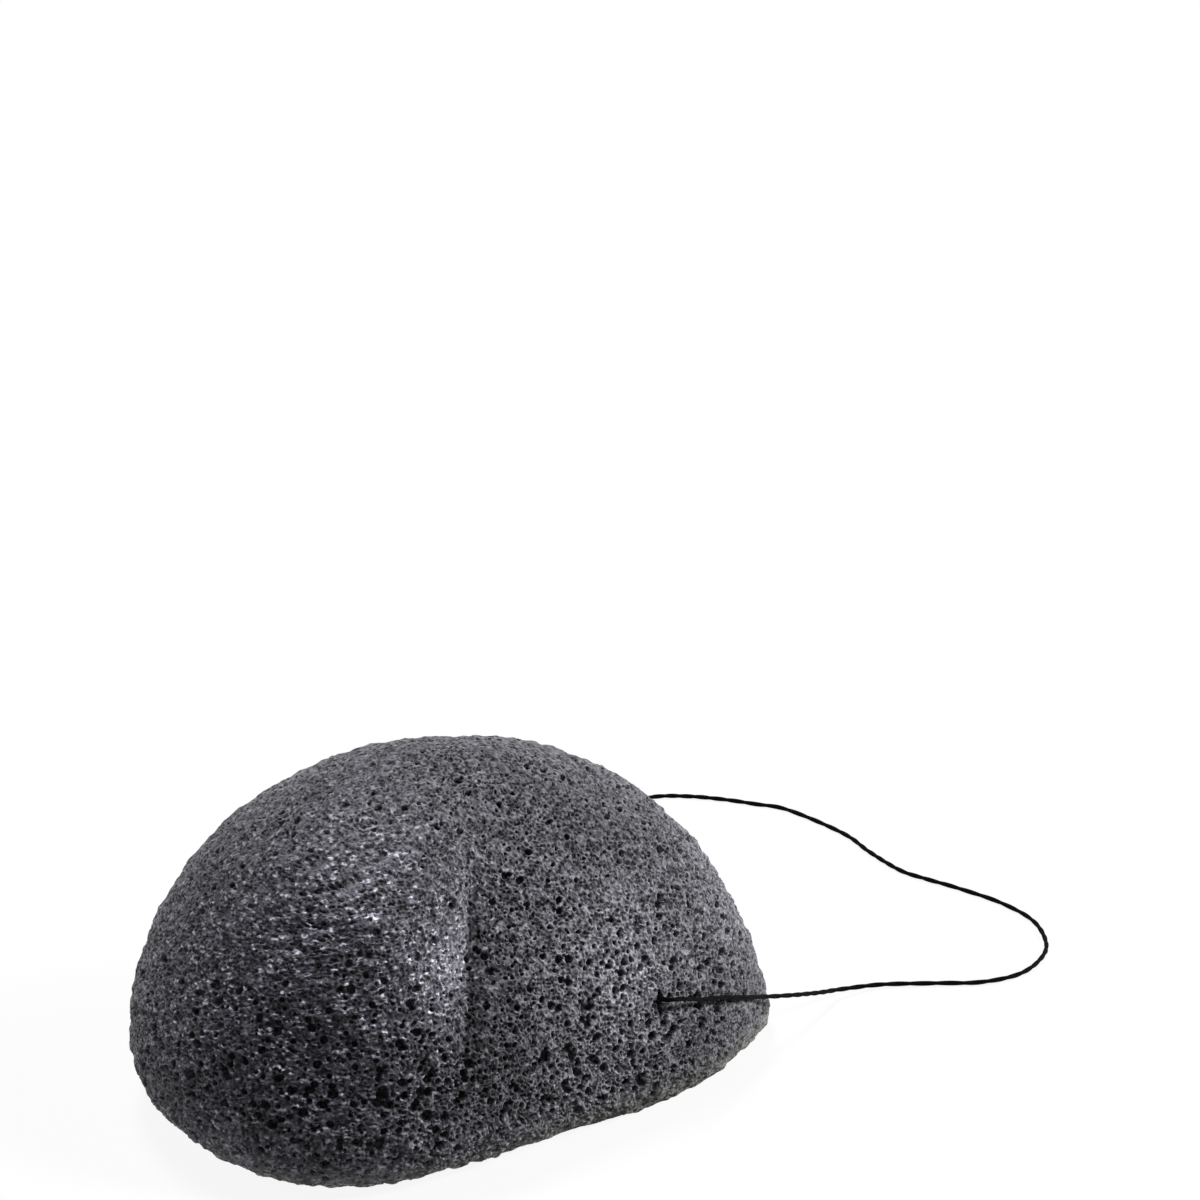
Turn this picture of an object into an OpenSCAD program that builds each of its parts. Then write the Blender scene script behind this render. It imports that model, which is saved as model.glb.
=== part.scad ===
// Konjac sponge: a dry, lopsided half-ball of charcoal foam that lies on its flat face, threaded from
// front to back near its right end with a thin twisted cord. The cord's two ends are tied behind the
// sponge, and its free loop lies on the table. +X points right, +Y back and +Z up, with the origin on
// the table under the dome.

/* [Sponge body] */
// Half of the length, from the left end to the right end
half_length = 39; // [30:0.5:50]
// Half of the width, from front to back
half_width = 27.5; // [20:0.5:36]
// Height of the dome over the table
dome_height = 41.5; // [30:0.5:55]
// Distance that the top of the dome leans back
top_lean = 4; // [0:0.5:10]
// How much fuller the left end is than the right end, as a share of the half width
egg_share = 0.26; // [0:0.01:0.4]
// Squareness of the outline from above, where 2 is an ellipse
outline_power = 2.1; // [1.8:0.05:2.6]
// Squareness of the outline from the side, where 2 is an ellipse
dome_power = 1.95; // [1.6:0.05:2.4]

/* [Foot] */
// Height of the widest level at the left end
belly_left = 9.5; // [5:0.5:14]
// Height of the widest level at the right end
belly_right = 3; // [2:0.5:8]
// How far the foot draws in under the widest level, as a share of that level's height
foot_share = 0.83; // [0.3:0.01:1]
// How far the heel at the right end flares out at the table, as a share of its distance from the middle
heel_share = 0.07; // [0:0.01:0.12]
// Height over which the heel fades into the dome
heel_rise = 6; // [3:0.5:10]

/* [Front] */
// How deep the front is drawn in, as a share of its distance from the middle
hollow_share = 0.21; // [0:0.01:0.3]
// Angle over which the front is drawn in
hollow_spread = 54; // [30:1:70]
// Depth of the fold in the front
groove_depth = 5.6; // [0:0.1:8]
// Half width of the fold
groove_reach = 6; // [3:0.5:10]
// Height of the middle of the fold over the table
groove_level = 27; // [15:0.5:34]
// Half length of the fold, up and down
groove_rise = 8; // [5:0.5:16]
// How far to both sides the crease at the bottom of the fold is rounded
crease_round = 0.5; // [0.2:0.1:2]
// How far the shoulder of the left lobe stands out
shoulder_out = 1.3; // [0:0.1:3]
// Height of the middle of the shoulder over the table
shoulder_level = 33.5; // [24:0.5:40]
// Half length of the shoulder, up and down
shoulder_rise = 5; // [3:0.5:10]

/* [Cord] */
// Diameter of the twisted cord
cord_d = 0.75; // [0.5:0.05:1.2]
// Clearance between the cord and the wall of its channel
channel_gap = 0.05; // [0.02:0.01:0.1]
// Distance of the channel from the middle, to the right
channel_x = 18.5; // [10:0.5:26]
// Height of the channel over the table
channel_z = 14.5; // [8:0.5:22]
// Length of cord that stands straight out of the front hole
cord_stub = 0.6; // [0.4:0.1:2]

/* [Knot] */
// Diameter of the tied knot
knot_d = 2.6; // [2:0.1:4]
// Length of the knot along the cord
knot_l = 3; // [2:0.1:5]
// Length of each cut tail past the knot
tail_l = 6; // [3:0.5:12]
// Gap between the knot and the foam
knot_gap = 0.3; // [0.2:0.05:1]

/* [Hidden] */

// Directions seen from above, in degrees from +X
hollow_dir = -89;
belly_dir = 20;
heel_dir = -4;
groove_dir = -106.5;
shoulder_dir = -148;
// Angles over which the heel and the shoulder fade to both sides
heel_spread = 9;
shoulder_spread = 40;
// Angle that the fold turns while it climbs by its half length
groove_turn = 4.5;
// Angle between a tail and the cord, and between a tail and straight down
tail_lean = 50;
tail_spread = 30;

// Counts of columns around the sponge, of rows on its foot and on its dome, and of sides of round things
columns = 96;
foot_rows = 5;
dome_rows = 20;
bore_sides = 48;
tube_sides = 8;
// How far the cut for the channel runs past the foam, and the space between two rings of the cord's tube
over = 1;
ring_step = 2.5;

// Angle brought into the range from -180 to 180, and a smooth bump that is 1 at zero
function turned(a) = (a + 540) % 360 - 180;
function bump(x, reach) = exp(-pow(x / reach, 2));

// Distance of the outline from the middle at its widest level, and the height of that level
function outline(a) =
    let (side = half_width * (1 - egg_share * cos(a)),
         round = pow(abs(cos(a)) / half_length, outline_power) + pow(abs(sin(a)) / side, outline_power))
    pow(round, -1 / outline_power) * (1 - hollow_share * bump(turned(a - hollow_dir), hollow_spread));
function belly(a) =
    (belly_left + belly_right) / 2 - (belly_left - belly_right) / 2 * cos(a - belly_dir);

// Distance of the skin from the middle at an angle and a height, before the heel, the fold and the shoulder
function plain_reach(a, z) =
    let (b = belly(a))
    z < b
        ? outline(a) - foot_share * (b - sqrt(max(0, b * b - pow(b - z, 2))))
        : outline(a) * pow(max(0, 1 - pow((z - b) / (dome_height - b), dome_power)), 1 / dome_power);

// How far the heel flares out, as a share, how far the fold draws in and how far the shoulder stands out
function heel_out(a, z) = heel_share * bump(turned(a - heel_dir), heel_spread) * exp(-z / heel_rise);
function groove_in(a, z) =
    let (aim = groove_dir + groove_turn * (z - groove_level) / groove_rise,
         aside = plain_reach(a, z) * turned(a - aim) * PI / 180,
         from_crease = norm([aside, crease_round]) - crease_round)
    groove_depth * bump(z - groove_level, groove_rise) * exp(-from_crease / groove_reach);
function shoulder(a, z) =
    shoulder_out * bump(z - shoulder_level, shoulder_rise) * bump(turned(a - shoulder_dir), shoulder_spread);

// Point of the skin at an angle and a height
function skin(a, z) =
    let (reach = max(0, plain_reach(a, z) * (1 + heel_out(a, z)) - groove_in(a, z) + shoulder(a, z)))
    [reach * cos(a), reach * sin(a) + top_lean * pow(z / dome_height, 2), z];

// Heights of the rows over one column, from the foot to just under the top
function row_z(a, i) =
    let (b = belly(a))
    i <= foot_rows
        ? b * (1 - cos(90 * i / foot_rows))
        : b + (dome_height - b) * pow(sin(90 * (i - foot_rows) / dome_rows), 2 / dome_power);

// How far back the skin lies at a place to the right and a height, found by halving the angle between two
// directions: -90 and 0 for the front of the right end, 90 and 0 for its back
halvings = 24;
function skin_y(far, near, x, z, n = halvings) =
    let (mid = (far + near) / 2)
    n == 0 ? skin(mid, z)[1]
    : skin(mid, z)[0] < x ? skin_y(mid, near, x, z, n - 1) : skin_y(far, mid, x, z, n - 1);
front_mouth = skin_y(-90, 0, channel_x, channel_z);
back_mouth = skin_y(90, 0, channel_x, channel_z);
run_front = front_mouth - cord_stub;
bore_r = cord_d / 2 + channel_gap;

// The knot is clear of the foam at its own lower left edge, where the skin comes furthest back
knot_front = skin_y(90, 0, channel_x - knot_d / 2, channel_z - knot_d / 2) + knot_gap;
knot_back = knot_front + knot_l;

// Route of the free loop, from the front hole around to the knot
loop_points = [
    [18.8, -17.3, 14.6], [19.6, -17.6, 14.6], [20.8, -17.3, 14.3], [22.5, -16.5, 13.5], [24.4, -15.5, 12.5],
    [27.5, -13.9, 11.3], [32.4, -11.2, 8.9], [37.6, -7.8, 6.2], [41.9, -5.9, 4.5], [46.9, -3.2, 2.4],
    [50.8, -1.4, 1.1], [56.5, -1.5, 0.5], [62.9, -4, 0.4], [67.9, -6.1, 0.4], [73.2, -6.3, 0.4],
    [77.6, -4, 0.4], [80.5, -0.5, 0.4], [82.1, 5.4, 0.4], [81, 11.5, 0.4], [78.1, 17.6, 0.4],
    [75.7, 21.7, 0.4], [73.9, 25.3, 0.4], [72.9, 31.7, 0.4], [72.4, 38.2, 0.4], [69.2, 47.5, 0.4],
    [66.1, 51, 0.4], [62.6, 54.4, 0.4], [58.8, 57.2, 0.4], [54.6, 58.9, 0.4], [47, 59, 0.4],
    [38, 55.5, 0.4], [30, 48, 0.4], [25, 41.5, 0.5], [21.5, 36, 1.6], [19.3, 32, 5],
    [18.5, 29, 9.4], [18.5, 26.9, 12.7], [18.5, 25.2, 14.1]
];
loop_route = concat([[channel_x, run_front, channel_z]], loop_points, [[channel_x, knot_back, channel_z]]);

// Smooth curve through the points of a route, and the centres of the rings along it
function route_point(p, i) = p[max(0, min(len(p) - 1, i))];
function smooth(p0, p1, p2, p3, t) =
    0.5 * (2 * p1 + (p2 - p0) * t + (2 * p0 - 5 * p1 + 4 * p2 - p3) * t * t
        + (3 * p1 - p0 - 3 * p2 + p3) * t * t * t);
function ring_centres(p) = concat([for (i = [0 : len(p) - 2])
    let (count = max(1, round(norm(p[i + 1] - p[i]) / ring_step)))
    for (k = [0 : count - 1])
        smooth(route_point(p, i - 1), p[i], p[i + 1], route_point(p, i + 2), k / count)], [p[len(p) - 1]]);

// Direction of the tube at a ring: both ends are square to the channel
function heading(c, i) =
    i == 0 || i == len(c) - 1 ? [0, -1, 0] : (c[i + 1] - c[i - 1]) / norm(c[i + 1] - c[i - 1]);
function ring(c, h, r) =
    let (side = cross(h, [0, 0, 1]) / norm(cross(h, [0, 0, 1])), up = cross(side, h))
    [for (k = [0 : tube_sides - 1])
        let (a = 360 * (k + 0.5) / tube_sides) c + r * (cos(a) * side + sin(a) * up)];
module tube(centres, r) {
    rings = [for (i = [0 : len(centres) - 1]) ring(centres[i], heading(centres, i), r)];
    last = (len(centres) - 1) * tube_sides;
    polyhedron(
        points = [for (one = rings) for (p = one) p],
        faces = concat(
            [[for (k = [tube_sides - 1 : -1 : 0]) k]],
            [for (i = [0 : len(centres) - 2]) for (k = [0 : tube_sides - 1])
                let (a = i * tube_sides + k, b = i * tube_sides + (k + 1) % tube_sides)
                for (face = [[a, b, a + tube_sides], [b, b + tube_sides, a + tube_sides]]) face],
            [[for (k = [0 : tube_sides - 1]) last + k]]
        )
    );
}

// The skin is one closed surface: a base disc, the rounded foot, the dome and its top point
module foam_body() {
    rows = foot_rows + dome_rows;
    base = rows * columns;
    top = base + 1;
    polyhedron(
        points = concat(
            [for (i = [0 : rows - 1]) for (k = [0 : columns - 1])
                let (a = 360 * k / columns) skin(a, row_z(a, i))],
            [[0, 0, 0], [0, top_lean, dome_height]]
        ),
        faces = concat(
            [for (k = [0 : columns - 1]) [base, k, (k + 1) % columns]],
            [for (i = [0 : rows - 2]) for (k = [0 : columns - 1])
                let (a = i * columns + k, b = i * columns + (k + 1) % columns)
                for (face = [[a, a + columns, b], [b, a + columns, b + columns]]) face],
            [for (k = [0 : columns - 1])
                [(rows - 1) * columns + k, top, (rows - 1) * columns + (k + 1) % columns]]
        )
    );
}

// Turns what stands along +Z so that it lies along +Y on the channel's axis
module on_channel(y) {
    translate([channel_x, y, channel_z]) rotate([-90, 0, 0]) children();
}

module sponge() {
    color("#4d4d52") difference() {
        foam_body();
        on_channel(front_mouth - over)
            cylinder(h = back_mouth - front_mouth + 2 * over, r = bore_r, $fn = bore_sides);
    }
}

module cord_run() {
    color("#141415") on_channel(run_front)
        cylinder(h = knot_front - run_front, d = cord_d, $fn = bore_sides);
}

// A barrel whose two end faces are twice as wide as the cord, with two cut tails that droop behind it
module cord_knot() {
    knot_round = norm([knot_l, 2 * cord_d]);
    color("#141415") {
        on_channel(knot_front) rotate_extrude($fn = bore_sides) intersection() {
            translate([0, knot_l / 2]) circle(d = knot_round, $fn = bore_sides);
            square([knot_d / 2, knot_l]);
        }
        for (turn = [90 - tail_spread, 90 + tail_spread]) on_channel(knot_front + knot_l / 2)
            rotate([0, 0, turn]) rotate([0, tail_lean, 0])
                cylinder(h = knot_l / 2 + tail_l, d = cord_d, $fn = bore_sides);
    }
}

module cord_loop() {
    color("#141415") tube(ring_centres(loop_route), cord_d / 2);
}

sponge();
cord_run();
cord_knot();
cord_loop();
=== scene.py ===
# %% [markdown]
# # A charcoal konjac sponge on its twisted cord
# The sponge is a lopsided half-ball of dry, open-celled foam that lies on its flat face. A thin black cord
# is threaded through its right end and tied in a loop. The CAD model already says where each part is and
# how it moves, so it is loaded first and everything else is built around it, in metres, with +X right, +Y
# back and +Z up. Sizes are written in millimetres and turned to metres where a mesh is filled.

# %% Load the CAD model as the fixed frame
import math

import bmesh
import bpy
import numpy as np
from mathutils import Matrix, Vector


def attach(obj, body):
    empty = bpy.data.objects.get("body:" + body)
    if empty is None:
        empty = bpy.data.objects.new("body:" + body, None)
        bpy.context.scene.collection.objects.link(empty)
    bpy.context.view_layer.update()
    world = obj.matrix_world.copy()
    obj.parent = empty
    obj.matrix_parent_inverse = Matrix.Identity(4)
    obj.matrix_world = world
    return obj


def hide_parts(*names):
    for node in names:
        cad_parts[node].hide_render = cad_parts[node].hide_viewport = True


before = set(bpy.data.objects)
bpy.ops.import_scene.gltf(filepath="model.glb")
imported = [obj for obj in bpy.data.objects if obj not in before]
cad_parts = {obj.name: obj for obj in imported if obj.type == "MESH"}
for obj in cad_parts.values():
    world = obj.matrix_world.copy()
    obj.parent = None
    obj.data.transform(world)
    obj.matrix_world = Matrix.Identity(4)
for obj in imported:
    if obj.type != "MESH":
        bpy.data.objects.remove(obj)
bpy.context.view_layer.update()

MM = 0.001

# %% [markdown]
# ## Small helpers
# Colours are written as sRGB hex values, as in any paint program, but the shaders count in linear light, so
# one function converts them. A second makes an object from a mesh, curve, lamp or camera.


# %% Colours and objects
def linear(hex_colour):
    """An sRGB hex colour as linear red, green, blue and alpha."""
    parts = [int(hex_colour[i:i + 2], 16) / 255 for i in (1, 3, 5)]
    return [c / 12.92 if c <= 0.04045 else ((c + 0.055) / 1.055) ** 2.4 for c in parts] + [1.0]


def new_object(name, data):
    """An object with that mesh, curve, lamp or camera, linked to the scene."""
    made = bpy.data.objects.new(name, data)
    bpy.context.scene.collection.objects.link(made)
    return made


print("a mid grey in linear light:", round(linear("#808080")[0], 3))

# %% [markdown]
# A material is a tree of nodes. One function adds a node of any kind, sets its values and links its inputs,
# which keeps the materials short enough to read. Another starts a material with an empty tree.


# %% Nodes and materials
def add_node(tree, kind, links=(), **settings):
    """A new node. links pairs an input's name or number with a socket or a value."""
    node = tree.nodes.new(kind)
    for name, value in settings.items():
        setattr(node, name, value)
    for socket, value in dict(links).items():
        if isinstance(value, bpy.types.NodeSocket):
            tree.links.new(value, node.inputs[socket])
        else:
            node.inputs[socket].default_value = value
    return node


def empty_material(name):
    """A material whose tree has no nodes yet, and that tree."""
    material = bpy.data.materials.new(name)
    material.use_nodes = True
    material.node_tree.nodes.clear()
    return material, material.node_tree


print("nodes of Blender", bpy.app.version_string)

# %% [markdown]
# ## The camera
# The photograph is a product shot through a long lens, from a little above and a little left of the front.
# The sponge fills the lower left of the frame, so the camera looks past its upper right, and the lens shift
# stays at zero, because a shift would also move every other view.

# %% Set up the camera
CAMERA_TURN = math.radians(-25.8)      # to the left of straight ahead
CAMERA_RISE = math.radians(23.4)       # above the table
CAMERA_AT = Vector((-213.14, -479.26, 289.12)) * MM
camera_data = bpy.data.cameras.new("camera")
camera_data.lens = 150
camera_data.sensor_width = 36
camera_data.clip_start = 0.01
camera = new_object("camera", camera_data)
camera.location = CAMERA_AT
camera.rotation_euler = (math.pi / 2 - CAMERA_RISE, 0, CAMERA_TURN)
bpy.context.scene.camera = camera
print("camera at", [round(c, 4) for c in camera.location])

# %% [markdown]
# ## The cord
# It is a limp two-ply twisted cord, 0.75 mm thick. It leaves the hole in the front of the sponge, slides
# down its side to the table, makes one wide loop and comes back to the knot behind the sponge. A plain
# round tube would look like wire, and a twist drawn only in bump would have a straight outline. So each ply
# is a curve of its own with a round bevel, wound around the route. The route's points are the ones of the
# CAD model's cord.

# %% The cord's sizes and the points of its route, in mm
HOLE_X, HOLE_Z = 18.5, 14.5
RUN_FRONT, RUN_BACK = -16.52, 20.52
KNOT_BACK = 23.52
LOOP_POINTS = [
    (18.5, RUN_FRONT, 14.5),
    (18.8, -17.3, 14.6), (19.6, -17.6, 14.6), (20.8, -17.3, 14.3), (22.5, -16.5, 13.5), (24.4, -15.5, 12.5),
    (27.5, -13.9, 11.3), (32.4, -11.2, 8.9), (37.6, -7.8, 6.2), (41.9, -5.9, 4.5), (46.9, -3.2, 2.4),
    (50.8, -1.4, 1.1), (56.5, -1.5, 0.5), (62.9, -4, 0.4), (67.9, -6.1, 0.4), (73.2, -6.3, 0.4),
    (77.6, -4, 0.4), (80.5, -0.5, 0.4), (82.1, 5.4, 0.4), (81, 11.5, 0.4), (78.1, 17.6, 0.4),
    (75.7, 21.7, 0.4), (73.9, 25.3, 0.4), (72.9, 31.7, 0.4), (72.4, 38.2, 0.4), (69.2, 47.5, 0.4),
    (66.1, 51, 0.4), (62.6, 54.4, 0.4), (58.8, 57.2, 0.4), (54.6, 58.9, 0.4), (47, 59, 0.4),
    (38, 55.5, 0.4), (30, 48, 0.4), (25, 41.5, 0.5), (21.5, 36, 1.6), (19.3, 32, 5),
    (18.5, 29, 9.4), (18.5, 26.9, 12.7), (18.5, 25.2, 14.1), (18.5, KNOT_BACK, 14.5),
]
print("points of the route:", len(LOOP_POINTS))

# %% [markdown]
# A limp cord has no corners. A Catmull-Rom curve goes through every point, its samples are spaced evenly,
# and a few rounds of averaging ease what is left of the turns.

# %% A smooth path through the points
PATH_STEP = 0.12            # mm between the samples
SAMPLES_A_SPAN = 40


def smooth_path(points, rounds=0):
    """Evenly spaced points on a smooth curve through the given ones, with sharp turns eased a little."""
    p = np.array(points, float)
    p = np.vstack([2 * p[0] - p[1], p, 2 * p[-1] - p[-2]])
    t = np.linspace(0, 1, SAMPLES_A_SPAN, endpoint=False)[:, None]
    dense = [0.5 * (2 * b + (c - a) * t + (2 * a - 5 * b + 4 * c - d) * t ** 2
                    + (3 * b - a - 3 * c + d) * t ** 3)
             for a, b, c, d in zip(p, p[1:], p[2:], p[3:])]
    dense = np.vstack(dense + [p[-2:-1]])
    far = np.concatenate([[0], np.cumsum(np.linalg.norm(np.diff(dense, axis=0), axis=1))])
    even = np.linspace(0, far[-1], max(4, round(far[-1] / PATH_STEP)))
    path = np.stack([np.interp(even, far, dense[:, i]) for i in range(3)], 1)
    for _ in range(rounds):
        path[1:-1] = path[1:-1] / 2 + (path[:-2] + path[2:]) / 4
    return path


def length_of(path):
    """Length of a path, in the unit of its points."""
    return float(np.linalg.norm(np.diff(path, axis=0), axis=1).sum())


loop_path = smooth_path(LOOP_POINTS, rounds=10)
print("loop length", round(length_of(loop_path), 1), "mm")

# %% [markdown]
# The plies have to be wound around the path. A helix needs two directions square to the path at every
# point. A fixed direction such as up would make the helix jump where the path turns towards it, so the two
# are carried along the path without turning about it.

# %% Directions square to the path
def square_to(path):
    """Two directions square to each point of the path."""
    along = np.gradient(path, axis=0)
    along /= np.linalg.norm(along, axis=1)[:, None]
    side = np.cross(along[0], (0, 0, 1) if abs(along[0][2]) < 0.9 else (1, 0, 0))
    sides = []
    for direction in along:
        side = side - direction * side.dot(direction)
        side = side / np.linalg.norm(side)
        sides.append(side)
    sides = np.array(sides)
    return sides, np.cross(along, sides)


print("beside the loop's first point", square_to(loop_path)[0][0].round(2))

# %% [markdown]
# A real hanging cord's twist is slack in some stretches and tight in others, so the turns run ahead and
# behind a little. Both plies stay inside the CAD cord's outline, which their loose fibres would fill. The
# two curves become one mesh, and merging its doubles joins the caps to the plies, so that the cord is
# closed.

# %% Wind two plies around a path
PLY_R = 0.235
PLY_OUT = 0.07              # mm from the middle of the cord to the middle of each ply
PLY_TURN = 5                # mm along the cord for one full turn of the twist
PLY_STEPS = 30              # points on one turn
SLACK, SLACK_RATE = 0.3, 0.9            # turns that the twist runs ahead or behind, and how fast that changes
CAP_GAP = 0.001             # mm between points that are the same


def twisted_cord(name, paths, ply_r=PLY_R):
    """Two plies wound around each path, as one mesh. All sizes are in mm."""
    curve = bpy.data.curves.new(name, "CURVE")
    curve.dimensions = "3D"
    curve.bevel_depth = ply_r * MM
    curve.bevel_resolution = 2
    curve.use_fill_caps = True
    for path in paths:
        steps = max(4, round(length_of(path) / PLY_TURN * PLY_STEPS))
        at = np.linspace(0, len(path) - 1, steps)
        centre = np.stack([np.interp(at, np.arange(len(path)), path[:, i]) for i in range(3)], 1)
        sides, ups = square_to(centre)
        turns = np.arange(steps) / PLY_STEPS
        turn = 2 * math.pi * (turns + SLACK * np.sin(SLACK_RATE * turns))
        for half in (0, math.pi):
            out = np.cos(turn + half)[:, None] * sides + np.sin(turn + half)[:, None] * ups
            wound = centre + PLY_OUT * out
            spline = curve.splines.new("POLY")
            spline.points.add(steps - 1)
            spline.points.foreach_set("co", np.hstack([wound * MM, np.ones((steps, 1))]).ravel())
            spline.use_smooth = True
    holder = new_object(name + "_curve", curve)
    mesh = bpy.data.meshes.new_from_object(holder.evaluated_get(bpy.context.evaluated_depsgraph_get()))
    bpy.data.objects.remove(holder)
    mesh.name = name
    plies = bmesh.new()
    plies.from_mesh(mesh)
    bmesh.ops.remove_doubles(plies, verts=plies.verts, dist=CAP_GAP * MM)
    bmesh.ops.recalc_face_normals(plies, faces=plies.faces)
    plies.to_mesh(mesh)
    plies.free()
    return new_object(name, mesh)


print("twisted cord", 2 * PLY_R, "to", round(2 * (PLY_R + PLY_OUT), 2), "mm across")

# %% [markdown]
# The loop is the part of the cord that swings. The stretch inside the sponge and the knot turn with it, and
# are pieces of their own, as in the CAD model.

# %% Make the loop and the stretch inside the sponge
strand_loop = twisted_cord("strand_loop", [loop_path])
run_path = smooth_path([(HOLE_X, RUN_FRONT, HOLE_Z), (HOLE_X, RUN_BACK, HOLE_Z)])
strand_run = twisted_cord("strand_run", [run_path])
print("run length", round(length_of(run_path), 1), "mm; faces", len(strand_loop.data.polygons))

# %% [markdown]
# ## The knot
# The two ends of the cord are tied together behind the sponge in one overhand knot, and their cut tails
# droop from it. A ball would do from afar, but a tight overhand knot is a small trefoil, so both strands
# follow the same trefoil curve side by side and are wound with the same function.

# %% Make the knot and its tails
KNOT_MIDDLE = np.array([HOLE_X, (RUN_BACK + KNOT_BACK) / 2, HOLE_Z])
KNOT_SIZE = 0.36            # mm for one unit of the trefoil curve
KNOT_ENDS = 1.95            # how far the trefoil's parameter runs to each side
STRANDS_APART = 0.36        # mm from the knot's middle line to each strand
KNOT_PULL = 0.17            # how far the curve's ends are pulled out along the cord
STRAND_SIDE, STRAND_UP = 0.8, 0.6
KNOT_PLY = 1.05             # the plies are a little fuller where they are tied
DROOP = math.radians(50)
TAIL_STEPS = (0.9, 2.0, 3.2, 4.3)       # mm from the knot along each tail
TAIL_SPREAD, TAIL_LIFT = 0.45, 0.05
ENTRIES = ((-1, (HOLE_X, RUN_BACK - 1.2, HOLE_Z)), (1, (HOLE_X, KNOT_BACK + 0.8, HOLE_Z - 0.4)))
tail_way = np.array([0, math.cos(DROOP), -math.sin(DROOP)])
knot_side = np.array([1.0, 0, 0])
knot_up = np.cross(knot_side, tail_way)
knot_paths = []
for sign, entry in ENTRIES:
    t = np.linspace(-KNOT_ENDS, KNOT_ENDS, 27)[:, None]
    trefoil = KNOT_SIZE * ((t ** 3 - 3 * t) * knot_side + (t ** 4 - 4 * t ** 2 + 2) * knot_up
                           + KNOT_PULL * (t ** 5 - 10 * t) * tail_way)
    beside = sign * STRANDS_APART * (STRAND_SIDE * knot_side + STRAND_UP * knot_up)
    wound = KNOT_MIDDLE + beside + trefoil
    tail = [wound[-1] + tail_way * d + sign * (TAIL_SPREAD * d * knot_side + TAIL_LIFT * d * d * knot_up)
            for d in TAIL_STEPS]
    knot_paths.append(smooth_path([entry, *wound, *tail], rounds=6))
cord_tie = twisted_cord("cord_tie", knot_paths, ply_r=PLY_R * KNOT_PLY)
print("knot box", [round(c / MM, 1) for c in cord_tie.dimensions], "mm")

# %% [markdown]
# ## The sponge's smooth form
# Konjac foam is cast in a half-ball mould and dries a little crooked: the dome leans back, the left lobe is
# wider, and a crease runs down the front. It could be sculpted by hand, but the same few measures already
# describe the form in the CAD model, so they are used again here.

# %% Measures of the smooth form, in mm and degrees
HALF_LENGTH, HALF_WIDTH, DOME_HEIGHT, TOP_LEAN = 39, 27.5, 41.5, 4
EGG_SHARE, OUTLINE_POWER, DOME_POWER = 0.26, 2.1, 1.95
BELLY_LEFT, BELLY_RIGHT, FOOT_SHARE = 9.5, 3, 0.83
HEEL_SHARE, HEEL_RISE = 0.07, 6
HOLLOW_SHARE, HOLLOW_SPREAD = 0.21, 54
GROOVE_DEPTH, GROOVE_REACH, GROOVE_LEVEL, GROOVE_RISE, CREASE_ROUND = 5.6, 6, 27, 8, 0.5
SHOULDER_OUT, SHOULDER_LEVEL, SHOULDER_RISE, SHOULDER_DIR, SHOULDER_SPREAD = 1.3, 33.5, 5, -148, 40
HOLLOW_DIR, BELLY_DIR, HEEL_DIR, GROOVE_DIR = -89, 20, -4, -106.5
HEEL_SPREAD, GROOVE_TURN = 9, 4.5
print("length and height of the form:", 2 * HALF_LENGTH, DOME_HEIGHT, "mm")

# %% [markdown]
# Seen from above, the outline is a rounded oval that is narrower at its right end and pressed in at the
# front. Above its widest level the dome closes in to the top, and below it the foot rounds in to the flat
# base. Every part of this is a function of the angle and the height, so that one call gives any point of
# the skin.

# %% Functions of the smooth form
def turned(angle):
    """The same angle between -180 and 180 degrees."""
    return (angle + 540) % 360 - 180


def bump(x, reach):
    """1 where x is 0, falling smoothly to nothing beyond about twice the reach."""
    return np.exp(-(x / reach) ** 2)


def outline(a):
    """Distance of the outline from the middle at its widest level."""
    side = HALF_WIDTH * (1 - EGG_SHARE * np.cos(np.radians(a)))
    rounded = ((abs(np.cos(np.radians(a))) / HALF_LENGTH) ** OUTLINE_POWER
               + (abs(np.sin(np.radians(a))) / side) ** OUTLINE_POWER)
    return rounded ** (-1 / OUTLINE_POWER) * (1 - HOLLOW_SHARE * bump(turned(a - HOLLOW_DIR), HOLLOW_SPREAD))


def belly(a):
    """Height of the widest level."""
    return ((BELLY_LEFT + BELLY_RIGHT) / 2
            - (BELLY_LEFT - BELLY_RIGHT) / 2 * np.cos(np.radians(a - BELLY_DIR)))


def plain_reach(a, z):
    """Distance of the skin from the middle, before the heel, crease and shoulder."""
    b = belly(a)
    foot = outline(a) - FOOT_SHARE * (b - np.sqrt(np.maximum(0, b * b - (b - z) ** 2)))
    rise = np.clip((z - b) / (DOME_HEIGHT - b), 0, 1)
    dome = outline(a) * np.maximum(0, 1 - rise ** DOME_POWER) ** (1 / DOME_POWER)
    return np.where(z < b, foot, dome)


def beside_crease(a, z):
    """Distance along the skin from the crease, negative to its left."""
    crease_at = GROOVE_DIR + GROOVE_TURN * (z - GROOVE_LEVEL) / GROOVE_RISE
    return plain_reach(a, z) * np.radians(turned(a - crease_at))


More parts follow.
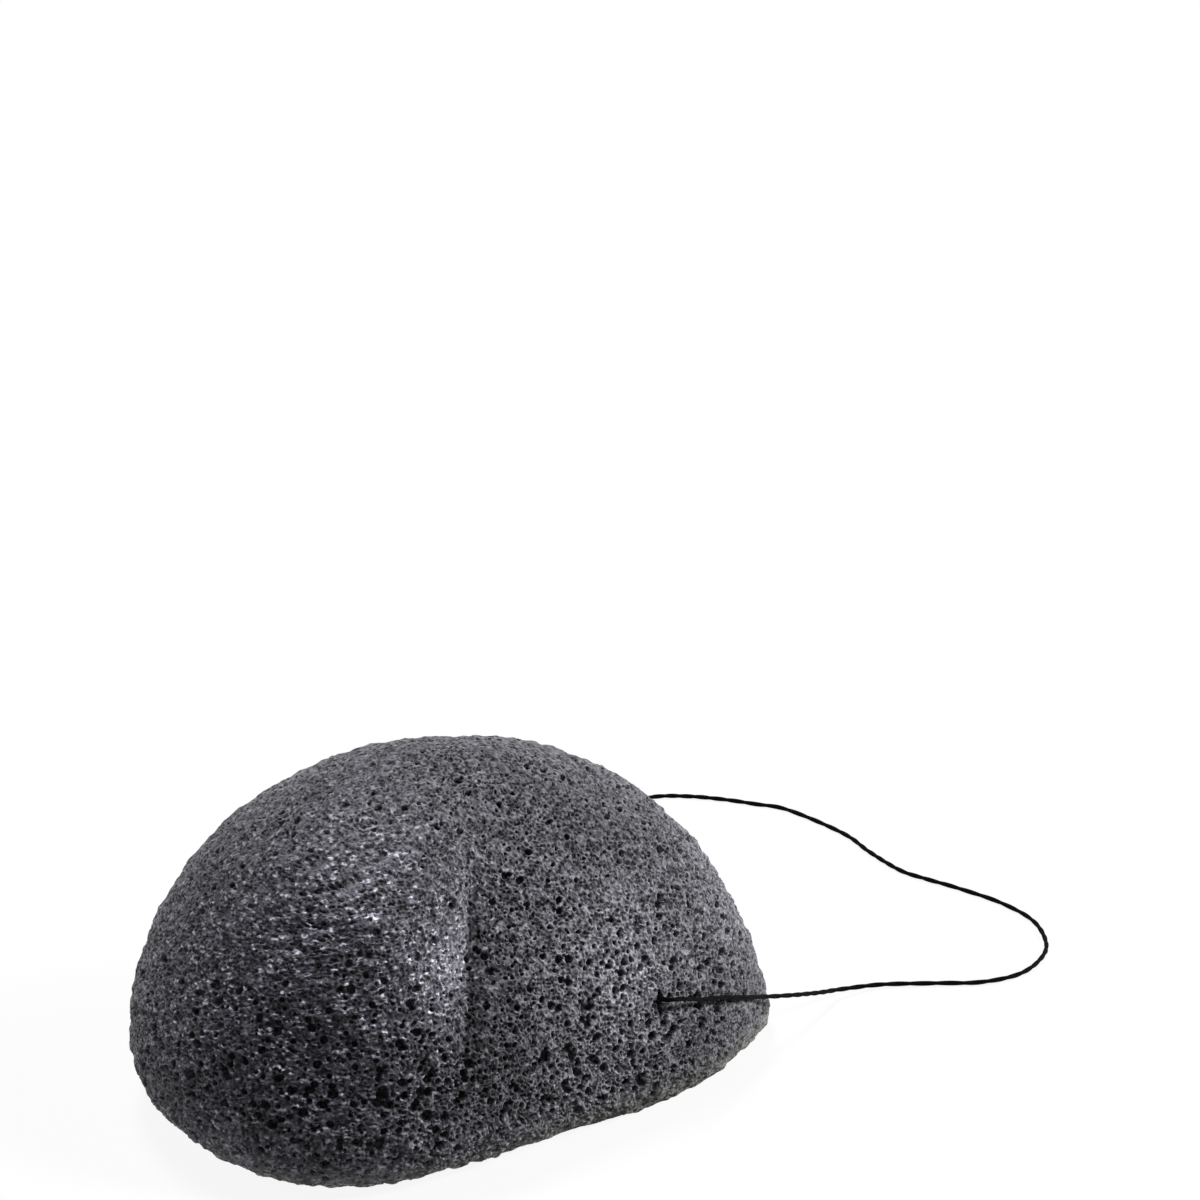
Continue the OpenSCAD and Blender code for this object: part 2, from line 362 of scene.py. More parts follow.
def skin(a, z, share=1.0):
    """Points of the smooth skin at angles a and heights z. share draws the base in to its middle."""
    heel = HEEL_SHARE * bump(turned(a - HEEL_DIR), HEEL_SPREAD) * np.exp(-z / HEEL_RISE)
    from_crease = np.hypot(beside_crease(a, z), CREASE_ROUND) - CREASE_ROUND
    groove = GROOVE_DEPTH * bump(z - GROOVE_LEVEL, GROOVE_RISE) * np.exp(-from_crease / GROOVE_REACH)
    shoulder = SHOULDER_OUT * bump(z - SHOULDER_LEVEL, SHOULDER_RISE) * bump(
        turned(a - SHOULDER_DIR), SHOULDER_SPREAD)
    reach = np.maximum(0, plain_reach(a, z) * (1 + heel) - groove + shoulder) * share
    return np.stack([reach * np.cos(np.radians(a)),
                     reach * np.sin(np.radians(a)) + TOP_LEAN * (z / DOME_HEIGHT) ** 2, z], -1)


print("the crease lies", skin(GROOVE_DIR, GROOVE_LEVEL).round(1), "mm from the middle of the base")

# %% [markdown]
# A rounded grid would crowd its points at the top, and the foam's cells would come out uneven. An icosphere
# has no poles and even triangles, so it is used here. Each of its points has a direction, and how far that
# leans from straight up says whether the point lands on the dome, on the rounded foot or on the base.

# %% Make the ball and bring it to the smooth form
BALL_STEPS = 8
LEAN_BELLY, LEAN_FOOT = 118.0, 134.0     # degrees from the top where the dome ends and where the base starts
ball = bmesh.new()
bmesh.ops.create_icosphere(ball, subdivisions=BALL_STEPS, radius=1)
bmesh.ops.subdivide_edges(ball, edges=ball.edges[:], cuts=1, use_grid_fill=True)
sponge_mesh = bpy.data.meshes.new("foam")
ball.to_mesh(sponge_mesh)
ball.free()
count = len(sponge_mesh.vertices)
flat = np.empty(count * 3, np.float32)
sponge_mesh.vertices.foreach_get("co", flat)
way = flat.reshape(-1, 3).astype(float)
way /= np.linalg.norm(way, axis=1)[:, None]
lean = np.degrees(np.arccos(np.clip(way[:, 2], -1, 1)))
angle = np.degrees(np.arctan2(way[:, 1], way[:, 0]))
widest = belly(angle)
dome_rise = np.sin(np.radians(90 * np.clip(1 - lean / LEAN_BELLY, 0, 1))) ** (2 / DOME_POWER)
foot_drop = np.sin(np.radians(90 * np.clip((lean - LEAN_BELLY) / (LEAN_FOOT - LEAN_BELLY), 0, 1)))
height = np.where(lean < LEAN_BELLY, widest + (DOME_HEIGHT - widest) * dome_rise,
                  widest * (1 - foot_drop))
drawn_in = np.clip((180 - lean) / (180 - LEAN_FOOT), 0, 1)
spots = skin(angle, np.maximum(height, 0), drawn_in)
sponge_mesh.vertices.foreach_set("co", (spots * MM).astype(np.float32).ravel())
sponge_mesh.update()
print("sponge points", count, "box", spots.min(0).round(1), spots.max(0).round(1))

# %% [markdown]
# ## The cells of the foam
# Dried konjac is an open-celled foam. Close up it shows three things: small cells with thin walls all over,
# round pits where a larger bubble was cut by the mould's wall, most of them low on the front, and on the
# left lobe cells that were pressed flat, so that their walls lie in level ridges. A displacement modifier
# with a texture can't tell a wall from a pit, so the points are moved in numpy, from how far each one is
# from its cell's middle and wall. Every cell draws its chances from its own place, so each run gives the
# same foam.


# %% Repeatable chances and smooth noise
def chances(cells, seed, number):
    """That many arrays of repeatable chances from 0 to 1, one of each for every cube."""
    c = cells.astype(np.int64).astype(np.uint32)
    state = c[:, 0] * np.uint32(73856093)
    state ^= c[:, 1] * np.uint32(19349663)
    state ^= c[:, 2] * np.uint32(83492791)
    state ^= np.uint32(seed * 374761393 % 2 ** 32)
    drawn = []
    for _ in range(number):
        state = (state ^ (state >> np.uint32(15))) * np.uint32(2246822519)
        state = (state ^ (state >> np.uint32(13))) * np.uint32(3266489917)
        state = state ^ (state >> np.uint32(16))
        drawn.append(state / 2 ** 32)
    return drawn


def soft_noise(points, size, seed):
    """Smooth noise from 0 to 1 that changes over about that many mm."""
    place = points / size
    cell = np.floor(place)
    part = place - cell
    part = part * part * (3 - 2 * part)
    total = np.zeros(len(points))
    for corner in np.ndindex(2, 2, 2):
        weight = np.prod(np.where(corner, part, 1 - part), axis=1)
        total += weight * chances(cell + corner, seed, 1)[0]
    return total


def eased(value, low, high):
    """0 below low, 1 above high and smooth between."""
    t = np.clip((value - low) / (high - low), 0, 1)
    return t * t * (3 - 2 * t)


print("mean of the noise", soft_noise(spots[::500], 7, 5).mean().round(2))

# %% [markdown]
# Foam is a pattern of cells that grew until they met. Each cube of space gets one cell's middle, at a place
# that chance gives it, and a point belongs to the nearest middle. How much further the second nearest one
# is says how far away the wall is. Blender's Voronoi texture is the same pattern, but only a shader can
# read it.

# %% The nearest cell of each point
def cells_of_foam(points, size, seed, uneven=0.22):
    """For each point its distance from its cell's middle and wall, in cell widths, and two chances."""
    cell = np.floor(points / size)
    nearest = np.full(len(points), np.inf)
    second = np.full(len(points), np.inf)
    first_chance, other_chance = np.zeros(len(points)), np.zeros(len(points))
    for step in np.ndindex(3, 3, 3):
        cube = cell + step - 1
        x, y, z, r, s = chances(cube, seed, 5)
        away = cube + np.stack([x, y, z], 1) - points / size
        far = np.sqrt((away * away).sum(1)) - uneven * r
        closer = far < nearest
        second = np.where(closer, nearest, np.minimum(second, far))
        nearest = np.where(closer, far, nearest)
        first_chance = np.where(closer, r, first_chance)
        other_chance = np.where(closer, s, other_chance)
    return nearest, second - nearest, first_chance, other_chance


print("mean distance from a cell's middle", cells_of_foam(spots[::500], 1, 5)[0].mean().round(2))

# %% [markdown]
# The foam isn't the same all over. The cells are coarser low down and in front, finer near the top and at
# the back, and smooth along the foot, where the foam lay on the mould's rim. On the upper left lobe they
# were pressed flat.

# %% Where the cells are coarse and where they were pressed flat
PRESSED_AT, PRESSED_REACH = (-20, -8, 32), 12
BAND_HEIGHT, BAND_SHARE = 3.5, 0.8      # mm of smooth foam along the foot, and how smooth it is
FRONT_TO_BACK = 40          # mm over which the front turns into the back
COARSE_BELOW, COARSE_SPAN = 34, 22      # mm: where the foam starts to get coarser, and over what height
COARSE_LEAST, COARSE_LOW, COARSE_BACK, COARSE_WANDER = 0.22, 0.62, 0.35, 0.3
BENT, BENT_WIDTH, BENT_SEEDS = 0.3, 1.3, (61, 62, 63)   # mm that the cells' walls wander, and over what width
CELL_SQUEEZE = (1, 1, 1.1)  # all cells are a little lower than wide
wander = soft_noise(spots, 7, 5) - 0.5
front = np.clip(0.5 - spots[:, 1] / FRONT_TO_BACK, 0, 1)
low = np.clip((COARSE_BELOW - spots[:, 2]) / COARSE_SPAN, 0, 1)
band = bump(spots[:, 2], BAND_HEIGHT)
coarse = COARSE_LEAST + COARSE_LOW * low * (COARSE_BACK + (1 - COARSE_BACK) * front) + COARSE_WANDER * wander
coarse = np.clip(coarse, 0, 1) * (1 - BAND_SHARE * band)
pressed = bump(np.linalg.norm(spots - PRESSED_AT, axis=1), PRESSED_REACH)
pressed = np.maximum(pressed, BAND_SHARE * band)
drawn = spots + BENT * np.stack([soft_noise(spots, BENT_WIDTH, seed) for seed in BENT_SEEDS], 1)
drawn = drawn * CELL_SQUEEZE
print("mean coarseness", coarse.mean().round(2), "points pressed", int((pressed > 0.5).sum()))


# %% [markdown]
# Small cells sink wherever a point is far enough from its cell's wall, which leaves the walls standing. In
# the pressed part space is squeezed upwards and stretched sideways before the cells are laid out, so they
# come out low and wide.

# %% Carve the small cells
SHALLOW = 0.4               # how deep a fine cell is, as a share of a coarse one
OPENS_FROM, OPENS_TO = -0.02, 0.06      # how sharply chance decides that a cell is open


def carve(where, squeeze, size, fine_share, coarse_share, wall, slope, least, most, seed):
    """Depth in mm of the open cells, of that width in mm, at some of the points."""
    _, gap, r, s = cells_of_foam(drawn[where] * squeeze, size, seed)
    share = fine_share + (coarse_share - fine_share) * coarse[where]
    is_open = eased(share - s, OPENS_FROM, OPENS_TO)
    deep = least + (most - least) * r * (SHALLOW + (1 - SHALLOW) * coarse[where])
    return eased(gap, wall, wall + slope) * is_open * deep


everywhere = np.arange(count)
small = carve(everywhere, squeeze=(1, 1, 1), size=0.55, fine_share=0.55, coarse_share=0.85,
              wall=0.06, slope=0.24, least=0.15, most=0.5, seed=23)
flattened = np.flatnonzero(pressed > 0.02)
streaked = carve(flattened, squeeze=(0.55, 0.55, 1.6), size=0.5, fine_share=0.5, coarse_share=0.75,
                 wall=0.1, slope=0.25, least=0.25, most=0.7, seed=31)
small[flattened] += (streaked - small[flattened]) * pressed[flattened]
print("small cells, mean depth", small.mean().round(3), "mm")


# %% [markdown]
# A larger bubble that was cut open leaves a round pit with a slightly raised edge. Two sizes are cut, large
# ones mostly where the foam is coarse.

# %% Cut the round pits
RIM, RIM_RISE = 0.09, 0.06  # mm across and high, of the raised edge of a round pit
RIM_OUT = 0.08              # mm from the pit's edge to the middle of the raised one
PIT_STEEP = 0.12            # mm over which a pit's side goes down
PIT_SHARE, PIT_LEAST = 1.1, 0.25        # a pit's depth for its radius, and mm that any has more
SMALL_SHARE = 0.35          # how large a pit is where the foam is fine, as a share of a coarse one
PRESSED_PITS, RIM_CELLS = 0.75, 0.6     # how much shallower pits are where pressed, and cells on a rim


def round_pits(size, fine_share, coarse_share, smallest, largest, seed):
    """Depth in mm of the round pits, one in each cell of that width, and the share of a rim at each point."""
    away, _, r, s = cells_of_foam(drawn, size, seed, uneven=0)
    share = fine_share + (coarse_share - fine_share) * coarse
    open_pit = eased(share - s, -0.02, 0.02)
    pit_r = smallest + (largest - smallest) * r * (SMALL_SHARE + (1 - SMALL_SHARE) * coarse)
    past_edge = away * size - pit_r
    sunk = (PIT_SHARE * pit_r + PIT_LEAST) * eased(-past_edge, -0.03, PIT_STEEP)
    return open_pit * sunk, open_pit * bump(past_edge - RIM_OUT, RIM)


large_pits, large_rims = round_pits(
    size=1.5, fine_share=0, coarse_share=1.3, smallest=0.3, largest=0.75, seed=11)
fine_pits, fine_rims = round_pits(
    size=0.95, fine_share=0.3, coarse_share=1.1, smallest=0.18, largest=0.42, seed=17)
pits = np.maximum(large_pits, fine_pits)
rims = np.maximum(large_rims, fine_rims) * (pits < 0.05) * (1 - pressed)
depth = np.maximum(pits * (1 - PRESSED_PITS * pressed), small * (1 - RIM_CELLS * rims)) - RIM_RISE * rims
print("carved depth, mm: mean", depth.mean().round(3), "share open", (depth > 0.1).mean().round(3))

# %% [markdown]
# The cord's hole is a narrow upright slit in front, because the cord is pulled up through the soft foam,
# and a small round hole at the back. Both are sunk as one deep pit, inside a lip of solid foam.

# %% Cut the two mouths of the hole
SLIT_HALF_WIDTH, SLIT_HALF_HEIGHT, SLIT_MIDDLE = 0.38, 1.4, 13.6
MOUTH_DEPTH = 3.0
LIP, LIP_DEPTH = 0.5, 0.25  # the solid rim, as a share of a mouth's width, and mm that its cells may sink
BACK_HOLE_R = 0.75
across = spots[:, 0] - HOLE_X
slit = np.hypot(across / SLIT_HALF_WIDTH, (spots[:, 2] - SLIT_MIDDLE) / SLIT_HALF_HEIGHT)
hole = np.hypot(across, spots[:, 2] - HOLE_Z) / BACK_HOLE_R
mouth = np.where(spots[:, 1] < 0, slit, hole)
depth = np.minimum(depth, LIP_DEPTH + np.maximum(0, mouth - 1 - LIP))
depth = np.where(mouth < 1, MOUTH_DEPTH, depth)
rims[mouth < 1 + LIP] = 0
print("points in the mouths", int((mouth < 1).sum()))

# %% [markdown]
# Dry foam is never quite fair: the skin swells and sinks by a few tenths of a millimetre, the foot spreads
# a little at its right and is tucked in at its left, and the pressed lobe has low level ridges. The depth
# and these lumps then move every point along its normal, and the flat base is kept flat.

# %% Add the lumps and move the points
LUMPS = ((9, 0.5, 41), (1.1, 0.5, 43), (2.6, 0.3, 44))      # width in mm, height in mm and seed
FOOT_OUT, FOOT_DIR, FOOT_SPREAD = 0.5, -58, 26
TUCK_IN, TUCK_DIR, TUCK_SPREAD = 0.5, -116, 10
FOOT_RISE = 5
RIDGE_HEIGHT, RIDGE_SQUEEZE, RIDGE_SEED = 0.9, (0.5, 0.5, 1.2), 45      # low, wide ridges
SKIN_OUT = 0.05             # mm that the walls stand out past the smooth form
lumps = sum(rise * (soft_noise(spots, size, seed) - 0.5) for size, rise, seed in LUMPS)
foot_out = (FOOT_OUT * bump(turned(angle - FOOT_DIR), FOOT_SPREAD)
            - TUCK_IN * bump(turned(angle - TUCK_DIR), TUCK_SPREAD))
lumps += foot_out * bump(spots[:, 2], FOOT_RISE) * (lean < LEAN_FOOT)
ridges = soft_noise(drawn * RIDGE_SQUEEZE, 1.0, RIDGE_SEED) - 0.5
lumps += RIDGE_HEIGHT * pressed * (1 - band) * ridges
normals = np.empty(count * 3, np.float32)
sponge_mesh.vertex_normals.foreach_get("vector", normals)
outward = normals.reshape(-1, 3).astype(float)
carved = spots + outward * (lumps + SKIN_OUT - depth)[:, None]
carved[:, 2] = np.maximum(carved[:, 2], 0)
sponge_mesh.vertices.foreach_set("co", (carved * MM).astype(np.float32).ravel())
sponge_mesh.update()
print("lumps from", lumps.min().round(2), "to", lumps.max().round(2), "mm")

# %% [markdown]
# Some parts of the foam are painted lighter or darker than the rest, as painted light and shade. Blender
# could paint this by hand, but numbers that are worked out for each point need no picture and stay with the
# surface.

# %% Painted light and shade on the foam
# the place in mm, how far around it in mm, and how many times as light as elsewhere it is painted
PAINTED_LIGHT_SPOTS = [((-14, -16, 29), 7, 1.15), ((-9, -17, 27), 4, 1.35), ((14, -17, 19), 10, 1.75),
         ((-6, -22, 13), 10, 0.6), ((-25, -18, 20), 8, 0.58), ((-22, -12, 30), 5, 1.35),
         ((-30, 5, 28), 13, 0.62), ((17, -7, 32), 9, 0.76), ((4, 6, 41), 16, 0.82),
         ((24, -15, 6), 7, 0.65), ((31, -4, 18), 9, 1.25), ((-30, -15, 5), 10, 1.5),
         ((11, -15, 23), 7, 1.2), ((-17, -23, 8), 5, 1.6), ((-14, -8, 36), 5, 1.25),
         ((8, -19, 8), 6, 1.3)]
painted_light_and_tone = np.prod([1 + (factor - 1) * bump(np.linalg.norm(spots - place, axis=1), reach)
                 for place, reach, factor in PAINTED_LIGHT_SPOTS], axis=0)
print("tones from", painted_light_and_tone.min().round(2), "to", painted_light_and_tone.max().round(2))

# %% [markdown]
# Light and shade are painted along the crease: its left edge is painted pale, as lit, and its right side
# dark, as in its own shade, with a painted dark line of shadow between the two and a paler top to the right
# side. The carved crease alone looks softer than that, because the foam's cells blur it, so its edges are
# painted as well.

# %% Painted light and shade at the crease
# how much lighter the foam is painted, below 0 for painted shade, at what height in mm, and how far above and
# below it
LEFT_EDGE_LIGHT, RIGHT_EDGE_SHADE, RIGHT_TOP_LIGHT, CREASE_SHADOW_LINE = (0.9, 25, 5), (-0.45, 19, 7), (0.4, 31, 5), (-0.45, 25, 6)
EDGE_WIDTH, LINE_WIDTH = 5, 0.5         # mm beside the crease
EDGE_CHANGE = 0.3           # mm to each side of the crease where its left edge turns into its right one


def at_level(change, level, reach):
    """How much lighter the foam is painted around that height."""
    return change * bump(spots[:, 2] - level, reach)


beside = beside_crease(angle, spots[:, 2])
right_side = eased(beside, -EDGE_CHANGE, EDGE_CHANGE)
edges = ((1 - right_side) * at_level(*LEFT_EDGE_LIGHT)
         + right_side * (at_level(*RIGHT_EDGE_SHADE) + at_level(*RIGHT_TOP_LIGHT)))
in_front = spots[:, 1] < 0
# painted light on the crease's left edge and painted shade on its right side, then a painted line of shadow
# in the crease
painted_light_and_tone *= 1 + edges * np.exp(-abs(beside) / EDGE_WIDTH) * in_front
painted_light_and_tone *= 1 + at_level(*CREASE_SHADOW_LINE) * bump(beside, LINE_WIDTH) * in_front
print("tones from", painted_light_and_tone.min().round(2), "to", painted_light_and_tone.max().round(2))

# %% [markdown]
# The foot lay on the mould's rim. It is painted lighter, most of all at the left, as light thrown up from the
# floor, with level wisps along it. The two mouths of the cord's hole are painted nearly black, as shade,
# because no light comes out of them.

# %% Painted light on the foot and painted shade in the mouths
FOOT_LIGHT, FOOT_LIGHT_HEIGHT = 1.5, 4.5            # how much lighter the foot is painted, and up to about what height in mm
FOOT_LIGHT_ENDS, FOOT_LIGHT_LOST = (-12, 8), 0.9    # it thins out between these places from left to right
WISPS, WISP_SQUEEZE, WISP_SEED = 1.1, (0.35, 0.35, 2.0), 71
# the painted shade inside the mouths, and up to what share of a mouth's size from its middle it reaches
MOUTH_SHADE, MOUTH_EDGE = 0.08, 1.25
painted_light_and_tone *= 1 + FOOT_LIGHT * bump(spots[:, 2], FOOT_LIGHT_HEIGHT) * (1 - FOOT_LIGHT_LOST * eased(spots[:, 0], *FOOT_LIGHT_ENDS))
painted_light_and_tone *= 1 + WISPS * band * (soft_noise(spots * WISP_SQUEEZE, 1.0, WISP_SEED) - 0.5)
painted_light_and_tone[mouth < MOUTH_EDGE] = MOUTH_SHADE
print("tones from", painted_light_and_tone.min().round(2), "to", painted_light_and_tone.max().round(2))

# %% [markdown]
# The material also has to know how deep each point's cell is, for the painted shade in it, how much of a rim
# it is on, for a painted highlight, how much painted light and shade and tone the point gets, and where the
# left lobe gets its painted glints, painted shade and painted tint of cool light. All four numbers are stored
# as attributes of the mesh.

# %% Store the pit shade, the painted light and tone, the rim and the lobe light of each point
# where the left lobe gets its painted glints, painted shade and painted tint of cool light
LOBE_LIGHT_AT, LOBE_LIGHT_REACH = (-25, -12, 23), 19
DEEP = 0.5                  # mm: a cell of this depth is painted as dark as any, as the shade inside it
lobe_light_mask = bump(np.linalg.norm(spots - LOBE_LIGHT_AT, axis=1), LOBE_LIGHT_REACH)
# how dark each point's cell is painted, as the shade inside it
shaded_pits = np.clip(depth / DEEP, 0, 1)
for name, values in (("pit_shade", shaded_pits), ("light_and_tone", painted_light_and_tone), ("rim", rims), ("lobe_light", lobe_light_mask)):
    attribute = sponge_mesh.attributes.new(name, "FLOAT", "POINT")
    attribute.data.foreach_set("value", values.astype(np.float32))
    print(name, "from", values.min().round(2), "to", values.max().round(2))

# %% [markdown]
# The foam's colours are baked when the model is exported, so it gets a UV map here. Blender could unwrap
# it, but the smooth form gives a map that wastes less: the dome opens out into a large disc and the base
# into a small one.

# %% Lay out the UV map
DOME_DISC, BASE_DISC = 0.39, 0.12        # radius of each disc
DOME_MIDDLE, BASE_MIDDLE = 0.40, 0.87    # middle of each disc, along both sides of the map
corners = np.empty(len(sponge_mesh.loops), np.int32)
sponge_mesh.loops.foreach_get("vertex_index", corners)
starts = np.empty(len(sponge_mesh.polygons), np.int32)
sizes = np.empty(len(sponge_mesh.polygons), np.int32)
sponge_mesh.polygons.foreach_get("loop_start", starts)
sponge_mesh.polygons.foreach_get("loop_total", sizes)
face_of = np.repeat(np.arange(len(sizes)), sizes)
leans = lean[corners]
face_lean = np.add.reduceat(leans, starts) / sizes
on_base = (face_lean > LEAN_FOOT)[face_of]
out = np.where(on_base, BASE_DISC * (180 - leans) / (180 - LEAN_FOOT), DOME_DISC * leans / LEAN_FOOT)
middle = np.where(on_base, BASE_MIDDLE, DOME_MIDDLE)
around = np.radians(angle[corners])
uv = np.stack([middle + out * np.cos(around), middle + out * np.sin(around)], 1)
layer = sponge_mesh.uv_layers.new(name="OFBake")
layer.data.foreach_set("uv", uv.astype(np.float32).ravel())
sponge_mesh.polygons.foreach_set("use_smooth", np.ones(len(sizes), bool))
foam = new_object("foam", sponge_mesh)
print("faces", len(sizes), "foam box", [round(c / MM, 1) for c in foam.dimensions])

# %% [markdown]
# ## Charcoal konjac foam
# The foam is plant fibre coloured through with charcoal powder, cast and freeze-dried. That gives the eye
# dull, dark grey walls, nearly black cells behind them, and a few ends of walls that catch the light; the
# dark of the cells is painted shade and the caught light is painted as glints. It is a plain dielectric with
# hardly any mirror reflection and a little sheen from its fibres. A flat dark grey would look like rubber, so
# the shade is a product of several things, one for each thing the eye sees, with painted light and shade
# among them.

# %% Start the foam's material and read what the mesh stores
foam_finish, tree = empty_material("charcoal_konjac_foam")
shader = add_node(tree, "ShaderNodeBsdfPrincipled", {
    "Specular IOR Level": 0.12, "Sheen Weight": 0.12, "Sheen Roughness": 0.4})
add_node(tree, "ShaderNodeOutputMaterial", {"Surface": shader.outputs["BSDF"]})
place = add_node(tree, "ShaderNodeTexCoord").outputs["Object"]
pit_shade, rim, lobe_light, light_and_tone = (add_node(tree, "ShaderNodeAttribute", attribute_name=name).outputs["Fac"]
                          for name in ("pit_shade", "rim", "lobe_light", "light_and_tone"))
print("material", foam_finish.name)

# %% [markdown]
# The struts themselves are foam too. Their own cells are 0.2 to 0.4 mm wide and only a few hundredths deep,
# too fine to carve, so they are drawn by the shader, as a Voronoi pattern of round dots of which chance opens
# about half. The open ones are painted dark, as the shade in them. They are drawn a little coarser than they
# are, because finer ones would vanish in the render.

# %% The small cells in the struts
SMALL_CELL = 0.45 * MM
FOOT_HEIGHT = 5 * MM        # below this the skin is closed, as it lay on the mould's rim
BEND, BEND_WIDTH = 0.35 * MM, 0.7 * MM   # how far and how finely the patterns wander
warp = add_node(tree, "ShaderNodeTexNoise", {"Vector": place, "Scale": 1 / BEND_WIDTH, "Detail": 1.0})
warp = add_node(tree, "ShaderNodeVectorMath", {0: warp.outputs["Color"], "Scale": BEND}, operation="SCALE")
bent = add_node(tree, "ShaderNodeVectorMath", {0: place, 1: warp.outputs["Vector"]}, operation="ADD")
bent = bent.outputs["Vector"]
dots = add_node(tree, "ShaderNodeTexVoronoi", {"Vector": bent, "Scale": 1 / SMALL_CELL}, feature="F1")
dot = add_node(tree, "ShaderNodeMapRange", {
    "Value": dots.outputs["Distance"], "From Min": 0.6, "From Max": 0.3})
chance = add_node(tree, "ShaderNodeSeparateColor", {"Color": dots.outputs["Color"]})
chance = add_node(tree, "ShaderNodeMapRange", {"Value": chance.outputs[0], "From Min": 0.2, "From Max": 0.75})
small_pits = add_node(tree, "ShaderNodeMath", {0: dot.outputs["Result"], 1: chance.outputs["Result"]},
                      operation="MULTIPLY")
height_up = add_node(tree, "ShaderNodeSeparateXYZ", {"Vector": place}).outputs["Z"]
up = add_node(tree, "ShaderNodeMapRange", {"Value": height_up, "From Max": FOOT_HEIGHT}).outputs["Result"]
small_pits = add_node(tree, "ShaderNodeMath", {0: small_pits.outputs[0], 1: up}, operation="MULTIPLY")
small_pits = small_pits.outputs[0]
print("small cells", SMALL_CELL / MM, "mm apart")

# %% [markdown]
# The glints are painted highlights: short level streaks, about 0.8 mm long and 0.3 mm high, most of them on
# the left lobe. They are the same Voronoi pattern in a space that is stretched upwards, so its dots come out
# flat.

# %% The painted glints
GLINT = 0.95 * MM           # from one painted glint to the next
FLATNESS = 2.6
level = add_node(tree, "ShaderNodeVectorMath", {0: bent, 1: (1, 1, FLATNESS)}, operation="MULTIPLY")
flecks = add_node(tree, "ShaderNodeTexVoronoi", {"Vector": level.outputs["Vector"], "Scale": 1 / GLINT},
                  feature="F1")
fleck = add_node(tree, "ShaderNodeMapRange", {
    "Value": flecks.outputs["Distance"], "From Min": 0.55, "From Max": 0.3})
lit = add_node(tree, "ShaderNodeSeparateColor", {"Color": flecks.outputs["Color"]})
lit = add_node(tree, "ShaderNodeMapRange", {"Value": lit.outputs[0], "From Min": 0.3, "From Max": 0.8})
streaks = add_node(tree, "ShaderNodeMath", {0: fleck.outputs["Result"], 1: lit.outputs["Result"]},
                   operation="MULTIPLY")
painted_glints = add_node(tree, "ShaderNodeMath", {0: streaks.outputs[0], 1: lobe_light}, operation="MULTIPLY").outputs[0]
print("painted_glints", GLINT / MM, "mm apart")

# %% [markdown]
# Charcoal is a nearly neutral black with a touch of blue. The left lobe is painted a little violet, as the
# tint of a cool light on it, and the foot leans a little to olive.

# %% The tint
FOOT_TINT, FOAM_TINT, COOL_LIGHT_TINT = linear("#919189"), linear("#8e8d94"), linear("#8e8c98")
tint = add_node(tree, "ShaderNodeMix", {"Factor": up, 6: FOOT_TINT, 7: FOAM_TINT}, data_type="RGBA")
# the left lobe's painted tint of cool light
tint = add_node(tree, "ShaderNodeMix", {"Factor": lobe_light, 6: tint.outputs[2], 7: COOL_LIGHT_TINT}, data_type="RGBA")
print("nodes so far", len(tree.nodes))

# %% [markdown]
# Each row below turns one of these values into a factor, and the factors are multiplied, starting from the
# painted light and shade of the tone attribute: open cells are painted dark as shade, the grain and the
# patches vary the walls, rims and glints are painted highlights, and the left lobe is painted darker as
# shade.

# %% The shade
GRAIN = 0.42 * MM           # unevenness of the walls
PATCH = 9 * MM              # paler and darker areas
grain = add_node(tree, "ShaderNodeTexNoise", {"Vector": place, "Scale": 1 / GRAIN, "Detail": 0.5})
grain = grain.outputs["Fac"]
patches = add_node(tree, "ShaderNodeTexNoise", {"Vector": place, "Scale": 1 / PATCH, "Detail": 2.0})
patches = patches.outputs["Fac"]
shade = light_and_tone
# small pits and deep cells: painted shade; rims and glints: painted highlights; the lobe's light mask:
# painted shade
for value, low_end, high_end, at_low, at_high in (
        (small_pits, 0, 1, 1.15, 0.25), (pit_shade, 0.9, 0, 0.14, 1), (grain, 0.3, 0.7, 0.5, 1.5),
        (patches, 0.3, 0.7, 0.85, 1.15), (rim, 0, 1, 1, 1.5), (painted_glints, 0, 1, 1, 8), (lobe_light, 0, 1, 1, 0.52)):
    factor = add_node(tree, "ShaderNodeMapRange", {
        "Value": value, "From Min": low_end, "From Max": high_end, "To Min": at_low, "To Max": at_high})
    shade = add_node(tree, "ShaderNodeMath", {0: shade, 1: factor.outputs["Result"]}, operation="MULTIPLY")
    shade = shade.outputs[0]
colour = add_node(tree, "ShaderNodeVectorMath", {0: tint.outputs[2], "Scale": shade}, operation="SCALE")
tree.links.new(colour.outputs["Vector"], shader.inputs["Base Color"])
print("nodes so far", len(tree.nodes))

# %% [markdown]
# The walls are rough, and the painted glints smoother. The same patterns give the finest relief, as a bump of
# a fifth of a millimetre, which is less than the mesh can carry.

# %% The gloss and the finest relief
RELIEF = 0.2 * MM
GRAIN_RISE, PIT_RISE, GLINT_RISE = 1.6, -0.7, 0.5       # shares of the relief
gloss = add_node(tree, "ShaderNodeMapRange", {"Value": painted_glints, "To Min": 0.4, "To Max": 0.2})
tree.links.new(gloss.outputs["Result"], shader.inputs["Roughness"])
relief = add_node(tree, "ShaderNodeMath", {0: grain, 1: GRAIN_RISE}, operation="MULTIPLY").outputs[0]
for value, rise in ((small_pits, PIT_RISE), (painted_glints, GLINT_RISE)):
    relief = add_node(tree, "ShaderNodeMath", {0: value, 1: rise, 2: relief}, operation="MULTIPLY_ADD")
    relief = relief.outputs[0]
bumps = add_node(tree, "ShaderNodeBump", {"Height": relief, "Distance": RELIEF, "Strength": 1.0})
tree.links.new(bumps.outputs["Normal"], shader.inputs["Normal"])
foam.data.materials.append(foam_finish)
print("nodes of the foam", len(tree.nodes))

